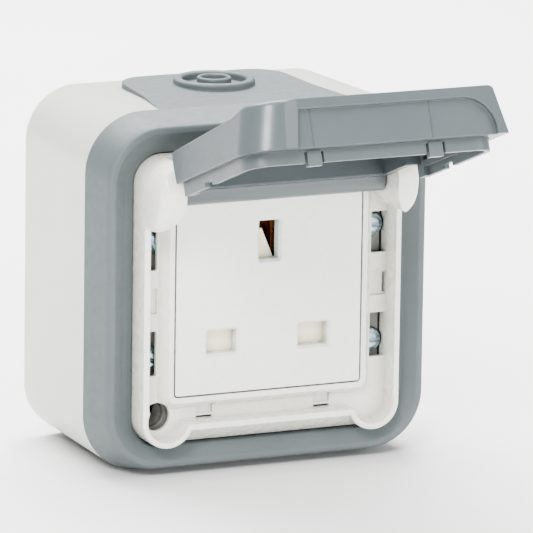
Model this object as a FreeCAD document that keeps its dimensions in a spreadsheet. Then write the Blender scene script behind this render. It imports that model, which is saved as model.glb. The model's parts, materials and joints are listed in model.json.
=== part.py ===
import FreeCAD, Part
import math
import os
import re

import Sketcher

# Outdoor surface socket with a hinged lid, in millimetres.
# X runs to the right, Z up, and the wall lies in the plane Y = 0 behind the box.
# Every "depth" below is a distance out from that wall, so it points along -Y.
# The lid is drawn closed, measured from its hinge axis, and then turned open.

os.makedirs("parts", exist_ok=True)

SIZES = {
    "Wall box": {
        "box_half": 40.5,
        "box_depth": 37.6,
        "box_side_draft": 1.6,
        "box_top_draft": 0.7,
        "box_corner": 13.5,
        "box_corner_draft": 1.5,
        "box_wall": 3.0,
        "flange_thickness": 2.5,
        "land_height": 1.7,
        "land_margin": 0.3,
        "fixing_x": 25.8,
        "fixing_z": 27.2,
        "fixing_hole_r": 2.3,
        "fixing_access_r": 3.2,
        "post_wall": 1.6,
        "cable_hole_r": 7.0,
        "cable_depth": 16.0,
    },
    "Soft surround": {
        "ring_side_rise": 8.0,
        "ring_side_inset": 1.85,
        "ring_crest_rise": 9.1,
        "ring_crest_inset": 2.3,
        "crest_width": 1.3,
        "dish_rise": 6.9,
        "dish_width": 2.5,
        "ring_inner_rise": 5.9,
        "crest_round": 0.55,
        "gap_to_frame": 0.35,
        "tab_front_half": 23.0,
        "tab_waist_half": 20.7,
        "tab_waist_depth": 24.0,
        "tab_back_half": 19.4,
        "tab_back_depth": 4.0,
        "tab_back_round": 7.5,
        "tab_sunk": 1.6,
        "tab_back_rise": 0.8,
        "bead_r": 9.2,
        "bead_width": 2.0,
        "bead_height": 1.1,
        "bead_round": 0.7,
        "nipple_r": 3.9,
        "nipple_height": 1.3,
        "nipple_round": 0.4,
        "dimple_r": 2.9,
        "dimple_floor": 0.5,
        "groove_depth": 0.6,
        "plug_fit": 0.15,
        "plug_length": 2.4,
    },
    "Frame round the socket": {
        "frame_half": 31.15,
        "frame_low": -33.4,
        "frame_high": 31.8,
        "frame_corner": 6.3,
        "floor_rise": 2.7,
        "floor_thickness": 1.0,
        "rim_height": 7.85,
        "rim_wall": 1.35,
        "rim_round": 0.45,
        "sill_gap": 2.3,
        "sill_wall": 1.3,
        "tray_corner": 4.6,
        "lobe_r": 6.15,
        "lobe_wall": 1.3,
        "drain_r": 3.2,
        "face_rise": 5.2,
        "head_wall_drop": 0.5,
        "collar_width": 1.6,
        "collar_flare": 2.0,
        "collar_corner": 1.6,
        "opening_gap": 0.4,
        "upper_window_low": 5.9,
        "upper_window_high": 15.3,
        "lower_window_low": -17.9,
        "lower_window_high": -7.8,
        "step_low": -3.8,
        "step_high": 1.8,
        "step_drop": 0.5,
        "latch_slot": 0.7,
        "snap_x": 14.3,
        "snap_half": 1.95,
        "snap_bite": 1.1,
        "snap_slot": 0.55,
        "snap_block_half": 2.35,
        "snap_block_reach": 0.1,
        "snap_block_drop": 1.45,
    },
    "Hinge": {
        "hinge_rise": 24.5,
        "hinge_gap": 0.4,
        "ear_width": 5.65,
        "ear_r": 8.7,
        "ear_round": 2.2,
        "ear_sweep_r": 7.46,
        "ear_sweep_drop": 1.0,
        "hinge_pin_r": 1.5,
        "hinge_pin_length": 8.95,
        "hinge_pin_inset": 0.9,
        "pin_fit": 0.05,
        "knuckle_r": 3.1,
        "knuckle_gap": 0.3,
        "open_angle": 110.8,
    },
    "Mounting plate": {
        "plate_thickness": 1.5,
        "seal_thickness": 1.0,
        "seal_width": 1.4,
        "plate_screw_edge": 2.8,
        "upper_screw_z": 12.0,
        "lower_screw_z": -14.5,
        "screw_head_r": 3.0,
        "screw_head_height": 2.3,
        "screw_shank_r": 1.9,
        "screw_length": 12.0,
        "screw_slot": 1.0,
        "screw_fit": 0.1,
        "screw_head_gap": 0.3,
    },
    "Socket module": {
        "module_half": 22.4,
        "module_corner": 0.6,
        "module_wall": 1.6,
        "face_wall": 2.8,
        "joint_drop": 1.3,
        "base_depth": 17.0,
        "base_floor": 2.5,
        "pin_pitch": 22.2,
        "pin_row_z": -10.9,
        "earth_rise": 22.2,
        "line_slot_half": 3.55,
        "line_slot_rise": 2.58,
        "earth_slot_half": 2.38,
        "earth_slot_rise": 4.4,
        "slot_corner": 0.35,
        "slot_chamfer": 0.6,
        "lug_reach": 1.9,
        "lug_gap": 1.7,
        "lug_rise": 6.0,
        "lug_thickness": 2.0,
        "boss_r": 2.6,
        "boss_x": 16.6,
        "boss_z": 15.6,
        "base_screw_r": 1.3,
        "base_screw_head_r": 2.5,
        "base_screw_head_height": 1.7,
        "base_screw_length": 20.0,
    },
    "Contacts": {
        "jaw_clearance": 1.2,
        "jaw_length": 14.0,
        "jaw_gap_half": 2.1,
        "jaw_thickness": 0.8,
        "line_jaw_half": 3.0,
        "earth_jaw_half": 3.9,
        "jaw_flare": 0.9,
        "jaw_flare_length": 2.2,
        "terminal_half": 3.4,
        "terminal_screw_r": 1.5,
        "terminal_head_r": 2.6,
        "terminal_head_height": 1.5,
        "terminal_screw_length": 5.0,
    },
    "Shutter": {
        "shutter_margin": 0.55,
        "shutter_lap": 0.52,
        "shutter_thickness": 1.7,
        "shutter_gap": 0.3,
        "shutter_travel": 6.5,
        "stem_left": 3.2,
        "stem_right": 2.2,
        "ramp_lap": 0.1,
        "ramp_rise": 2.1,
        "ramp_top_x": 0.6,
        "lug_below_ramp": 0.8,
        "spring_lug_thickness": 1.5,
        "spring_lug_half": 1.6,
        "spring_r": 1.7,
        "spring_wire_r": 0.25,
        "spring_coils": 5.0,
        "spring_length": 16.5,
        "spring_setback": 3.2,
        "seat_thickness": 2.5,
        "seat_half": 2.6,
        "seat_clearance": 1.0,
        "guide_thickness": 0.8,
        "guide_overrun": 1.0,
    },
    "Lid": {
        "lid_overhang": 4.3,
        "lid_margin": 1.6,
        "side_draft": 2.4,
        "end_draft": 0.2,
        "skirt_gap": 0.4,
        "lid_nose_lift": 6.9,
        "lid_nose_reach": 2.0,
        "lid_root_lift": 7.5,
        "lid_root": 11.6,
        "crown_lift": 10.2,
        "crown_length": 6.6,
        "step_lift": 8.95,
        "lid_corner": 7.5,
        "lid_sharp_corner": 2.0,
        "lid_edge_round": 1.2,
        "shoulder_foot": 15.65,
        "shoulder_knee": 12.6,
        "shoulder_knee_lift": 4.4,
        "shoulder_wall": 1.95,
        "lid_wall": 1.9,
        "core_corner": 5.0,
        "throat_start": 5.5,
        "throat_roof": 2.5,
        "brow_drop": 1.0,
        "brow_left": 22.3,
        "brow_slope": 4.0,
        "grip_wall": 2.2,
        "grip_left": 19.4,
        "grip_slope": 1.4,
        "grip_right": 28.0,
        "grip_brow": 2.3,
        "grip_corner_share": 0.9,
        "rib_left": 11.5,
        "rib_right": 19.5,
        "rib_length": 2.6,
        "rib_setback": 1.6,
        "rib_lift": 4.3,
    },
    "Lid liner": {
        "liner_side_gap": 0.6,
        "liner_end_gap": 0.8,
        "liner_wall": 1.2,
        "liner_ledge": 1.8,
        "liner_corner": 5.5,
        "liner_lift": 2.0,
        "liner_height": 5.25,
        "liner_return": 2.3,
        "liner_fit": 0.05,
        "clip_half": 1.65,
        "clip_gap": 0.6,
        "clip_drop": 0.7,
        "clip_bulge": 0.2,
        "clip_root": 0.45,
        "clip_thickness": 1.5,
        "notch_start": 27.0,
        "notch_end": 31.0,
        "notch_rise": 1.0,
        "lip_width": 1.1,
        "lip_height": 1.4,
        "lip_lift": 0.15,
    },
}

# What follows from the sizes above: depths stack up from the box, and fits share one value

FITS = {
    "box_back_half": "box_half - box_side_draft",
    "box_back_rise": "box_half - box_top_draft",
    "box_back_corner": "box_corner - box_corner_draft",
    "land_depth": "box_depth + land_height",
    "plate_depth": "land_depth + plate_thickness",
    "frame_back_depth": "plate_depth + seal_thickness",
    "floor_depth": "frame_back_depth + floor_rise",
    "rim_depth": "frame_back_depth + rim_height",
    "face_depth": "frame_back_depth + face_rise",
    "head_wall_depth": "face_depth - head_wall_drop",
    "hinge_depth": "face_depth + knuckle_r + hinge_gap",
    "snap_block_depth": "rim_depth - snap_block_drop",
    "ring_side_depth": "box_depth + ring_side_rise",
    "ring_side_half": "box_half - ring_side_inset",
    "ring_crest_depth": "box_depth + ring_crest_rise",
    "ring_crest_half": "box_half - ring_crest_inset",
    "crest_inner_half": "ring_crest_half - crest_width",
    "crest_corner": "box_corner - ring_crest_inset",
    "dish_depth": "box_depth + dish_rise",
    "dish_half": "frame_half + gap_to_frame + dish_width",
    "dish_corner": "frame_corner + gap_to_frame + dish_width",
    "ring_inner_depth": "box_depth + ring_inner_rise",
    "tab_under": "box_half - tab_sunk",
    "tab_front_top": "box_half",
    "tab_back_top": "box_half + tab_back_rise",
    "collar_half": "module_half + collar_width",
    "collar_foot_half": "collar_half + collar_flare",
    "collar_foot_corner": "collar_corner + collar_flare",
    "frame_inner_half": "frame_half - rim_wall",
    "window_inner": "collar_foot_half",
    "tray_low": "-(collar_foot_half + sill_gap)",
    "sill_edge": "tray_low - sill_wall",
    "sill_inner": "frame_low + rim_wall",
    "snap_high": "snap_bite - collar_foot_half",
    "ear_inner": "frame_half - ear_width",
    "ear_sweep_rise": "hinge_rise - ear_sweep_drop",
    "knuckle_half": "ear_inner - knuckle_gap",
    "hinge_pin_outer": "frame_half - hinge_pin_inset",
    "hinge_pin_inner": "hinge_pin_outer - hinge_pin_length",
    "plate_screw_x": "frame_inner_half - plate_screw_edge",
    "post_r": "screw_shank_r + screw_fit + post_wall",
    "flange_opening": "module_half + lug_reach + lug_gap",
    "module_opening_half": "module_half + opening_gap",
    "module_joint_depth": "land_depth - lug_thickness - joint_drop",
    "module_back_depth": "module_joint_depth - base_depth",
    "base_floor_depth": "module_back_depth + base_floor",
    "earth_z": "pin_row_z + earth_rise",
    "shutter_front_depth": "face_depth - face_wall - shutter_gap",
    "shutter_back_depth": "shutter_front_depth - shutter_thickness",
    "shutter_half": "pin_pitch / 2 + line_slot_half + shutter_margin",
    "shutter_low": "pin_row_z - line_slot_rise - shutter_lap",
    "shutter_high": "pin_row_z + line_slot_rise + shutter_lap",
    "guide_inner": "shutter_half + shutter_gap",
    "guide_low": "shutter_low - shutter_travel + guide_overrun",
    "ramp_foot_z": "earth_z - earth_slot_rise - ramp_lap",
    "ramp_top_z": "earth_z + ramp_rise",
    "spring_lug_high": "ramp_foot_z - lug_below_ramp",
    "spring_lug_low": "spring_lug_high - spring_lug_thickness",
    "spring_seat_z": "spring_lug_low - spring_length",
    "spring_depth": "shutter_back_depth - spring_setback",
    "spring_lug_depth": "spring_depth - spring_r - spring_wire_r",
    "seat_front_depth": "shutter_back_depth - seat_clearance",
    "jaw_front_depth": "shutter_back_depth - jaw_clearance",
    "jaw_back_depth": "jaw_front_depth - jaw_length",
    "skirt_lift": "rim_depth - hinge_depth + skirt_gap",
    "liner_half": "frame_inner_half - liner_side_gap",
    "liner_end": "hinge_rise - tray_low - liner_end_gap",
    "liner_drop": "liner_lift - liner_height",
    "lid_half": "liner_half + lid_margin",
    "lid_top_half": "lid_half - side_draft",
    "lid_length": "liner_end + lid_overhang",
    "lid_top_length": "lid_length - end_draft",
    "crown_start": "lid_length - crown_length",
    "brow_lift": "crown_lift - grip_brow",
    "grip_corner": "grip_corner_share * (brow_lift - skirt_lift)",
    "rib_start": "core_start - rib_setback",
    "step_start": "crown_start - crown_length",
    "core_start": "shoulder_foot + shoulder_wall",
    "core_half": "liner_half - liner_ledge",
    "grip_reach": "liner_end + grip_wall",
    "brow_reach": "lid_length - brow_drop",
    "clip_tip": "liner_drop - clip_drop",
}

doc = FreeCAD.newDocument("weatherproof_socket")
sheet = doc.addObject("Spreadsheet::Sheet", "dims")
nodes = {}


def fill_sheet():
    """One row for each driving dimension: its name, its value, under a heading."""
    row = 1
    for heading, group in SIZES.items():
        sheet.set(f"A{row}", heading)
        row += 1
        for name, value in group.items():
            sheet.set(f"A{row}", name)
            sheet.set(f"B{row}", str(value))
            sheet.setAlias(f"B{row}", name)
            row += 1
    doc.recompute()


fill_sheet()


def in_sizes(text):
    """A formula written out in the sheet's own cells."""
    def cell(match):
        word = match.group(0)
        if word in FITS:
            return f"({in_sizes(FITS[word])})"
        return f"dims.{word}"
    return re.sub(r"[A-Za-z_]+", cell, text)


fits = doc.addObject("App::VarSet", "fits")
for fit_name, fit_text in FITS.items():
    fits.addProperty("App::PropertyFloat", fit_name, "Fits")
    fits.setExpression(fit_name, in_sizes(fit_text))
doc.recompute()


def formula(text):
    """A formula in plain dimension names, as an expression that reads the sheet or the fits."""
    def cell(match):
        word = match.group(0)
        return f"fits.{word}" if word in FITS else f"dims.{word}"
    return re.sub(r"[A-Za-z_]+", cell, text)


def bind(thing, **formulas):
    for prop, text in formulas.items():
        thing.setExpression(prop.replace("__", "."), formula(text))


def size(name):
    """The present value of one dimension or fit."""
    return float(getattr(fits, name) if name in FITS else sheet.get(name))


# Drawing helpers

def origin_plane(body, role):
    for feature in body.Origin.OriginFeatures:
        if feature.Role == role:
            return feature


def new_body(name):
    return doc.addObject("PartDesign::Body", name)


def new_sketch(body, name, role, offset):
    """A sketch on one of the body's own planes, moved out along its normal.

    On XZ_Plane it is seen from the front and the offset is a depth; on
    YZ_Plane sketch X is row Y and the offset is row X; on XY_Plane it is row Z.
    """
    sketch = body.newObject("Sketcher::SketchObject", name)
    sketch.AttachmentSupport = (origin_plane(body, role), "")
    sketch.MapMode = "FlatFace"
    sketch.setExpression("AttachmentOffset.Base.z", formula(offset))
    return sketch


def hold(sketch, kind, shape, point, guess, text):
    """Fix one point's distance from the sketch origin to a formula."""
    index = sketch.addConstraint(Sketcher.Constraint(kind, -1, 1, shape, point, guess))
    sketch.setExpression(f"Constraints[{index}]", formula(text))


def polygon(sketch, corners):
    """Closed outline of straight lines, each corner placed by two formulas."""
    count = len(corners)
    first = sketch.GeometryCount
    ring = []
    for index in range(count):
        angle = 2 * math.pi * index / count
        ring.append(FreeCAD.Vector(10 * math.cos(angle), 10 * math.sin(angle), 0))
    for index in range(count):
        sketch.addGeometry(Part.LineSegment(ring[index], ring[(index + 1) % count]), False)
    for index, (across, up) in enumerate(corners):
        here = first + index
        after = first + (index + 1) % count
        sketch.addConstraint(Sketcher.Constraint("Coincident", here, 2, after, 1))
        hold(sketch, "DistanceX", here, 1, ring[index].x, across)
        hold(sketch, "DistanceY", here, 1, ring[index].y, up)


def rounded_rectangle(sketch, left, right, low, high, radius):
    """Rectangle with four equal tangent arcs at its corners."""
    first = sketch.GeometryCount
    reach = 10.0
    bend = 1.0
    straight = reach - bend
    sides = [
        ((-straight, -reach), (straight, -reach)),
        ((reach, -straight), (reach, straight)),
        ((straight, reach), (-straight, reach)),
        ((-reach, straight), (-reach, -straight)),
    ]
    centres = [(straight, -straight), (straight, straight), (-straight, straight), (-straight, -straight)]
    for index, (start, end) in enumerate(sides):
        sketch.addGeometry(Part.LineSegment(FreeCAD.Vector(*start, 0), FreeCAD.Vector(*end, 0)), False)
        circle = Part.Circle(FreeCAD.Vector(*centres[index], 0), FreeCAD.Vector(0, 0, 1), bend)
        angle = (index - 1) * math.pi / 2
        sketch.addGeometry(Part.ArcOfCircle(circle, angle, angle + math.pi / 2), False)
    for index in range(4):
        line = first + 2 * index
        arc = line + 1
        after = first + (2 * index + 2) % 8
        sketch.addConstraint(Sketcher.Constraint("Tangent", line, 2, arc, 1))
        sketch.addConstraint(Sketcher.Constraint("Tangent", arc, 2, after, 1))
        level = "Horizontal" if index % 2 == 0 else "Vertical"
        sketch.addConstraint(Sketcher.Constraint(level, line))
        if index > 0:
            sketch.addConstraint(Sketcher.Constraint("Equal", first + 1, arc))
    hold(sketch, "DistanceX", first + 6, 1, -reach, left)
    hold(sketch, "DistanceX", first + 2, 1, reach, right)
    hold(sketch, "DistanceY", first, 1, -reach, low)
    hold(sketch, "DistanceY", first + 4, 1, reach, high)
    index = sketch.addConstraint(Sketcher.Constraint("Radius", first + 1, bend))
    sketch.setExpression(f"Constraints[{index}]", formula(radius))


def circle(sketch, across, up, radius):
    """Circle with its centre and radius placed by formulas."""
    shape = sketch.addGeometry(Part.Circle(FreeCAD.Vector(5, 5, 0), FreeCAD.Vector(0, 0, 1), 1), False)
    hold(sketch, "DistanceX", shape, 3, 5, across)
    hold(sketch, "DistanceY", shape, 3, 5, up)
    index = sketch.addConstraint(Sketcher.Constraint("Radius", shape, 1))
    sketch.setExpression(f"Constraints[{index}]", formula(radius))


def module_opening(sketch):
    """The square hole that the socket module passes through."""
    rounded_rectangle(sketch, "-module_opening_half", "module_opening_half", "-module_opening_half",
                      "module_opening_half", "module_corner + opening_gap")


def square_sketch(body, name, depth, half, radius):
    sketch = new_sketch(body, name, "XZ_Plane", depth)
    rounded_rectangle(sketch, f"-({half})", half, f"-({half})", half, radius)
    return sketch


def frame_sketch(body, name, depth, inset, radius):
    """The frame's own outline, moved in (or out, if negative) by one distance."""
    sketch = new_sketch(body, name, "XZ_Plane", depth)
    rounded_rectangle(sketch, f"-(frame_half - ({inset}))", f"frame_half - ({inset})",
                      f"frame_low + ({inset})", f"frame_high - ({inset})", radius)
    return sketch


def pad(body, name, sketch, length, middle=False):
    feature = body.newObject("PartDesign::Pad", name)
    feature.Profile = sketch
    feature.Midplane = middle
    bind(feature, Length=length)
    return feature


def pocket(body, name, sketch, length, forward=False, middle=False):
    """Cut against the sketch normal, or along it when forward."""
    feature = body.newObject("PartDesign::Pocket", name)
    feature.Profile = sketch
    feature.Reversed = forward
    feature.Midplane = middle
    bind(feature, Length=length)
    return feature


def loft(body, name, sketches, cut=False):
    kind = "PartDesign::SubtractiveLoft" if cut else "PartDesign::AdditiveLoft"
    feature = body.newObject(kind, name)
    feature.Profile = sketches[0]
    feature.Sections = sketches[1:]
    feature.Ruled = True
    return feature


def edges_where(shape, test):
    return [f"Edge{index + 1}" for index, edge in enumerate(shape.Edges) if test(edge)]


def round_edges(body, name, base, radius, test, kind="PartDesign::Fillet"):
    """Fillet (or chamfer) on the edges of the last feature that pass the test."""
    doc.recompute()
    feature = body.newObject(kind, name)
    feature.Base = (base, edges_where(base.Shape, test))
    bind(feature, **{"Radius" if kind.endswith("Fillet") else "Size": radius})
    body.Tip = feature
    return feature


def solid_box(name, left, right, near, far, low, high):
    """Box from the depth near to the depth far, with its sides by formulas."""
    thing = doc.addObject("Part::Box", name)
    bind(thing, Length=f"({right}) - ({left})", Width=f"({far}) - ({near})", Height=f"({high}) - ({low})",
         Placement__Base__x=left, Placement__Base__y=f"-({far})", Placement__Base__z=low)
    return thing


def rod(name, direction, radius, length, across, depth, up):
    """Cylinder that starts at the given place and runs along +X, -Y or +Z."""
    thing = doc.addObject("Part::Cylinder", name)
    heading = {"right": (1, 0, 0), "out": (0, -1, 0), "up": (0, 0, 1)}[direction]
    turn = FreeCAD.Rotation(FreeCAD.Vector(0, 0, 1), FreeCAD.Vector(*heading))
    thing.Placement = FreeCAD.Placement(FreeCAD.Vector(0, 0, 0), turn)
    bind(thing, Radius=radius, Height=length,
         Placement__Base__x=across, Placement__Base__y=f"-({depth})", Placement__Base__z=up)
    return thing


def join(name, things):
    feature = doc.addObject("Part::MultiFuse", name)
    feature.Shapes = things
    feature.Refine = True
    return feature


def overlap_of(name, things):
    feature = doc.addObject("Part::MultiCommon", name)
    feature.Shapes = things
    return feature


def cut(name, base, tools):
    tool = tools[0]
    if len(tools) > 1:
        tool = join(f"{name}_tools", tools)
    feature = doc.addObject("Part::Cut", name)
    feature.Base = base
    feature.Tool = tool
    return feature


def group(name, things):
    feature = doc.addObject("Part::Compound", name)
    feature.Links = things
    return feature


def node(name, thing):
    """Register a finished sub-part: its label is the name of its file."""
    thing.Label = name
    nodes[name] = thing


SIDES = (("left", "-"), ("right", ""))
LINE_PINS = (("live", "pin_pitch / 2"), ("neutral", "-pin_pitch / 2"))


# Wall box: tapered open shell with a front flange that carries the plate

def tab_outline(body, name, rise):
    """Outline of the soft tab on the top of the box, seen from above."""
    sketch = new_sketch(body, name, "XY_Plane", rise)
    polygon(sketch, [
        ("-tab_front_half", "-box_depth"),
        ("tab_front_half", "-box_depth"),
        ("tab_waist_half", "-tab_waist_depth"),
        ("tab_back_half", "-tab_back_depth"),
        ("-tab_back_half", "-tab_back_depth"),
        ("-tab_waist_half", "-tab_waist_depth"),
    ])
    return sketch


def at_tab_back_corner(edge):
    """The two upright edges at the far corners of the tab."""
    centre = edge.CenterOfMass
    upright = edge.BoundBox.XLength < 0.01 and edge.BoundBox.YLength < 0.01
    far = abs(centre.y + size("tab_back_depth")) < 0.01
    return upright and far and abs(abs(centre.x) - size("tab_back_half")) < 0.01


def make_wall_box():
    body = new_body("wall_box")
    back = new_sketch(body, "box_back", "XZ_Plane", "0")
    rounded_rectangle(back, "-box_back_half", "box_back_half", "-box_back_rise", "box_back_rise",
                      "box_back_corner")
    front = square_sketch(body, "box_front", "box_depth", "box_half", "box_corner")
    loft(body, "box_form", [back, front])
    land = frame_sketch(body, "land_outline", "box_depth", "land_margin", "frame_corner")
    pad(body, "land", land, "land_height")
    inner_back = new_sketch(body, "cavity_back", "XZ_Plane", "box_wall")
    rounded_rectangle(inner_back, "-(box_back_half - box_wall)", "box_back_half - box_wall",
                      "-(box_back_rise - box_wall)", "box_back_rise - box_wall",
                      "box_back_corner - box_wall")
    inner_front = square_sketch(body, "cavity_front", "box_depth - flange_thickness",
                                "box_half - box_wall", "box_corner - box_wall")
    loft(body, "cavity", [inner_back, inner_front], cut=True)
    opening = square_sketch(body, "flange_opening_outline", "land_depth", "flange_opening",
                            "collar_foot_corner")
    pocket(body, "flange_hole", opening, "land_height + flange_thickness + box_wall")
    posts = new_sketch(body, "post_outlines", "XZ_Plane", "box_wall / 2")
    screw_circles(posts, "post_r")
    pad(body, "posts", posts, "land_depth - box_wall / 2")
    screw_holes = new_sketch(body, "screw_hole_outlines", "XZ_Plane", "land_depth")
    fixings = new_sketch(body, "fixing_outlines", "XZ_Plane", "box_wall")
    access = new_sketch(body, "access_outlines", "XZ_Plane", "land_depth")
    screw_circles(screw_holes, "screw_shank_r + screw_fit")
    for _, sign in SIDES:
        for rise in ("fixing_z", "-fixing_z"):
            circle(fixings, f"{sign}fixing_x", rise, "fixing_hole_r")
            circle(access, f"{sign}fixing_x", rise, "fixing_access_r")
    pocket(body, "screw_holes", screw_holes, "screw_length")
    pocket(body, "fixing_holes", fixings, "box_wall")
    pocket(body, "access_holes", access, "land_height + flange_thickness + box_wall")
    tab = tab_outline(body, "tab_seat_outline", "tab_under")
    seat = pocket(body, "tab_seat", tab, "box_half - tab_under + box_wall", forward=True)
    round_edges(body, "tab_seat_corners", seat, "tab_back_round", at_tab_back_corner)
    cable = new_sketch(body, "cable_outline", "XY_Plane", "tab_under")
    circle(cable, "0", "-cable_depth", "cable_hole_r")
    pocket(body, "cable_hole", cable, "2 * box_wall")
    node("wall_box", body)


# Soft surround: dished ring, tab over the top and the cable grommet, one moulding

def make_surround():
    body = new_body("surround")
    tab = pad(body, "tab", tab_outline(body, "tab_plan", "tab_under"), "box_half - tab_under + box_wall")
    rounded = round_edges(body, "tab_corners", tab, "tab_back_round", at_tab_back_corner)
    doc.recompute()
    slope = new_sketch(body, "tab_slope", "YZ_Plane", "0")
    polygon(slope, [
        ("-box_depth - box_wall", "tab_front_top"),
        ("-box_depth", "tab_front_top"),
        ("-tab_back_depth", "tab_back_top"),
        ("box_wall", "tab_back_top"),
        ("box_wall", "tab_back_top + box_half"),
        ("-box_depth - box_wall", "tab_back_top + box_half"),
    ])
    pocket(body, "tab_top", slope, "2 * box_half", middle=True)
    back = square_sketch(body, "ring_back", "box_depth", "box_half", "box_corner")
    side = square_sketch(body, "ring_side", "ring_side_depth", "ring_side_half",
                         "box_corner - ring_side_inset / 2")
    crest = square_sketch(body, "ring_crest", "ring_crest_depth", "ring_crest_half",
                          "box_corner - ring_crest_inset / 2")
    loft(body, "ring", [back, side, crest])
    bead = new_sketch(body, "bead_outline", "XY_Plane", "tab_under")
    circle(bead, "0", "-cable_depth", "bead_r")
    pad(body, "bead", bead, "tab_back_top - tab_under + bead_height")
    groove = new_sketch(body, "groove_outline", "XY_Plane", "tab_back_top - groove_depth")
    circle(groove, "0", "-cable_depth", "bead_r - bead_width")
    pocket(body, "groove", groove, "box_half", forward=True)
    plug = new_sketch(body, "plug_outline", "XY_Plane", "tab_under - plug_length")
    circle(plug, "0", "-cable_depth", "cable_hole_r - plug_fit")
    pad(body, "plug", plug, "plug_length")
    nipple = new_sketch(body, "nipple_outline", "XY_Plane", "tab_under")
    circle(nipple, "0", "-cable_depth", "nipple_r")
    pad(body, "nipple", nipple, "tab_back_top - tab_under + nipple_height")
    dimple = new_sketch(body, "dimple_outline", "XY_Plane", "tab_back_top - dimple_floor")
    circle(dimple, "0", "-cable_depth", "dimple_r")
    pocket(body, "dimple", dimple, "box_half", forward=True)
    crest_inner = square_sketch(body, "dish_crest", "ring_crest_depth", "crest_inner_half", "crest_corner")
    dish_middle = square_sketch(body, "dish_middle", "dish_depth", "dish_half", "dish_corner")
    dish_inner = frame_sketch(body, "dish_inner", "ring_inner_depth", "-gap_to_frame",
                              "frame_corner + gap_to_frame")
    loft(body, "dish", [crest_inner, dish_middle, dish_inner], cut=True)
    opening = frame_sketch(body, "ring_opening", "ring_crest_depth", "-gap_to_frame",
                           "frame_corner + gap_to_frame")
    last = pocket(body, "ring_hole", opening, "ring_crest_depth - box_depth")

    def on_crest(edge):
        box = edge.BoundBox
        return box.YLength < 0.01 and abs(box.YMin + size("ring_crest_depth")) < 0.01

    last = round_edges(body, "crest_edges", last, "crest_round", on_crest)
    for name, radius in (("bead", "bead_round"), ("nipple", "nipple_round")):
        top = size("tab_back_top") + size(f"{name}_height")

        def on_ring(edge):
            box = edge.BoundBox
            return box.ZLength < 0.01 and abs(box.ZMin - top) < 0.01

        last = round_edges(body, f"{name}_edges", last, radius, on_ring)
    node("surround", body)


# Frame round the socket: a tray with a rim, corner lobes, a collar and two hinge ears

def screw_circles(sketch, radius):
    """The four places where a screw holds the plate to the box."""
    for _, sign in SIDES:
        for rise in ("upper_screw_z", "lower_screw_z"):
            circle(sketch, f"{sign}plate_screw_x", rise, radius)


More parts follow.
